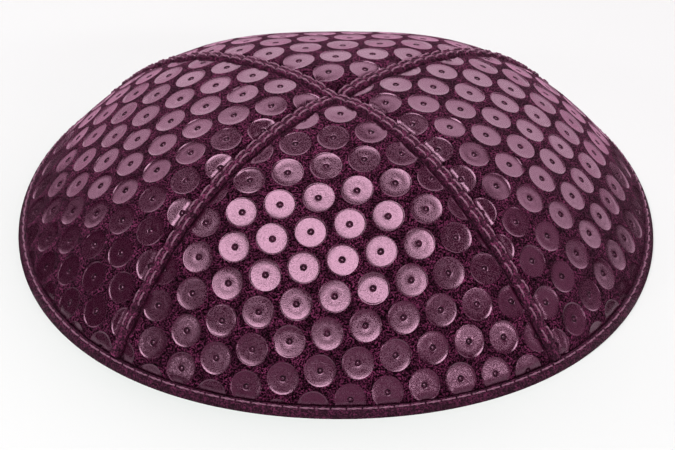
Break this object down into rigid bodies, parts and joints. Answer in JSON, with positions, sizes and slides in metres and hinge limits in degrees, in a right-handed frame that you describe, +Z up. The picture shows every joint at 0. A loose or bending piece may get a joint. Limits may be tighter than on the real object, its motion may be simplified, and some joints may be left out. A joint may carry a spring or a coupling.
{
  "type": "kippah skullcap",
  "caption": "Low domed leather skullcap of puffed panels with pressed disc pattern, raised stitched seam strips and a folded rim binding, open below for the head.",
  "frame": {"origin": "centre of the rim's flat foot, on the surface the cap rests on", "axes": "+Z up through the crown, -Y to the front, +X to the wearer's left"},
  "size_m": [0.1684, 0.1684, 0.0466],
  "materials": {
    "panel_suede": "plum suede with smooth pressed discs",
    "seam_leather": "plum leather strip with a row of stitches on each side",
    "binding_leather": "dark plum leather tape, stitched along its upper edge"
  },
  "bodies": {
    "root": {"panel_front": "panel_suede", "panel_right": "panel_suede", "panel_back": "panel_suede", "panel_left": "panel_suede", "seam_strip_long": "seam_leather", "seam_strip_front_left": "seam_leather", "seam_strip_back_right": "seam_leather", "rim_binding": "binding_leather"}
  },
  "joints": []
}
